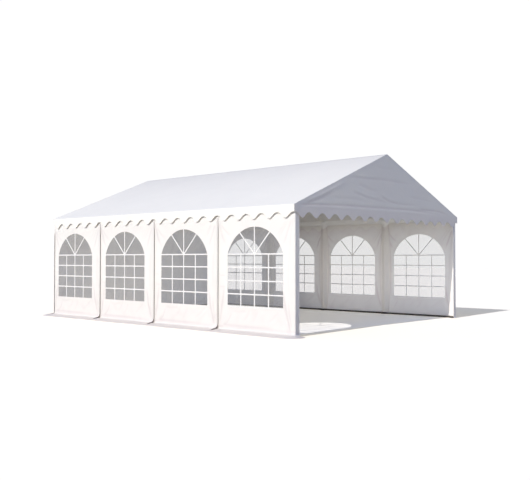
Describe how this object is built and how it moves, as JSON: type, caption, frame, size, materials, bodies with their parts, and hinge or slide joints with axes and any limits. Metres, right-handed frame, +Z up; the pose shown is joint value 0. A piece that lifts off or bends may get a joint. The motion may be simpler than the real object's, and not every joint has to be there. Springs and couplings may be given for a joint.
{
  "type": "marquee tent",
  "caption": "White rectangular party marquee with a pitched roof, scalloped valances, arched clear windows in both long walls, a closed back and an open gable end.",
  "frame": {"origin": "on the ground, in the middle of the tent's footprint", "axes": "+Z up, +Y along the ridge from the open gable end to the closed one, +X across to the right-hand long wall as seen from the open end"},
  "size_m": [6.6, 8.4, 3.6416],
  "materials": {
    "cover_fabric": "coated, slightly glossy",
    "window_film": "clear film",
    "frame_steel": "galvanised",
    "ground_rail_paint": "satin"
  },
  "bodies": {
    "root": {"leg_left_1": "frame_steel", "leg_left_2": "frame_steel", "leg_left_3": "frame_steel", "leg_left_4": "frame_steel", "leg_left_5": "frame_steel", "leg_right_1": "frame_steel", "leg_right_2": "frame_steel", "leg_right_3": "frame_steel", "leg_right_4": "frame_steel", "leg_right_5": "frame_steel", "rafter_left_1": "frame_steel", "rafter_left_2": "frame_steel", "rafter_left_3": "frame_steel", "rafter_left_4": "frame_steel", "rafter_left_5": "frame_steel", "rafter_right_1": "frame_steel", "rafter_right_2": "frame_steel", "rafter_right_3": "frame_steel", "rafter_right_4": "frame_steel", "rafter_right_5": "frame_steel", "eave_rail_left": "frame_steel", "eave_rail_right": "frame_steel", "ridge_rail": "frame_steel", "ground_rail_left": "ground_rail_paint", "ground_rail_right": "ground_rail_paint", "ground_rail_back": "ground_rail_paint", "wall_left_1": "cover_fabric", "wall_left_2": "cover_fabric", "wall_left_3": "cover_fabric", "wall_left_4": "cover_fabric", "wall_right_1": "cover_fabric", "wall_right_2": "cover_fabric", "wall_right_3": "cover_fabric", "wall_right_4": "cover_fabric", "wall_back": "cover_fabric", "roof_cover": "cover_fabric", "gable_front": "cover_fabric", "gable_back": "cover_fabric", "window_left_1": "window_film", "window_left_2": "window_film", "window_left_3": "window_film", "window_left_4": "window_film", "window_right_1": "window_film", "window_right_2": "window_film", "window_right_3": "window_film", "window_right_4": "window_film"}
  },
  "joints": []
}
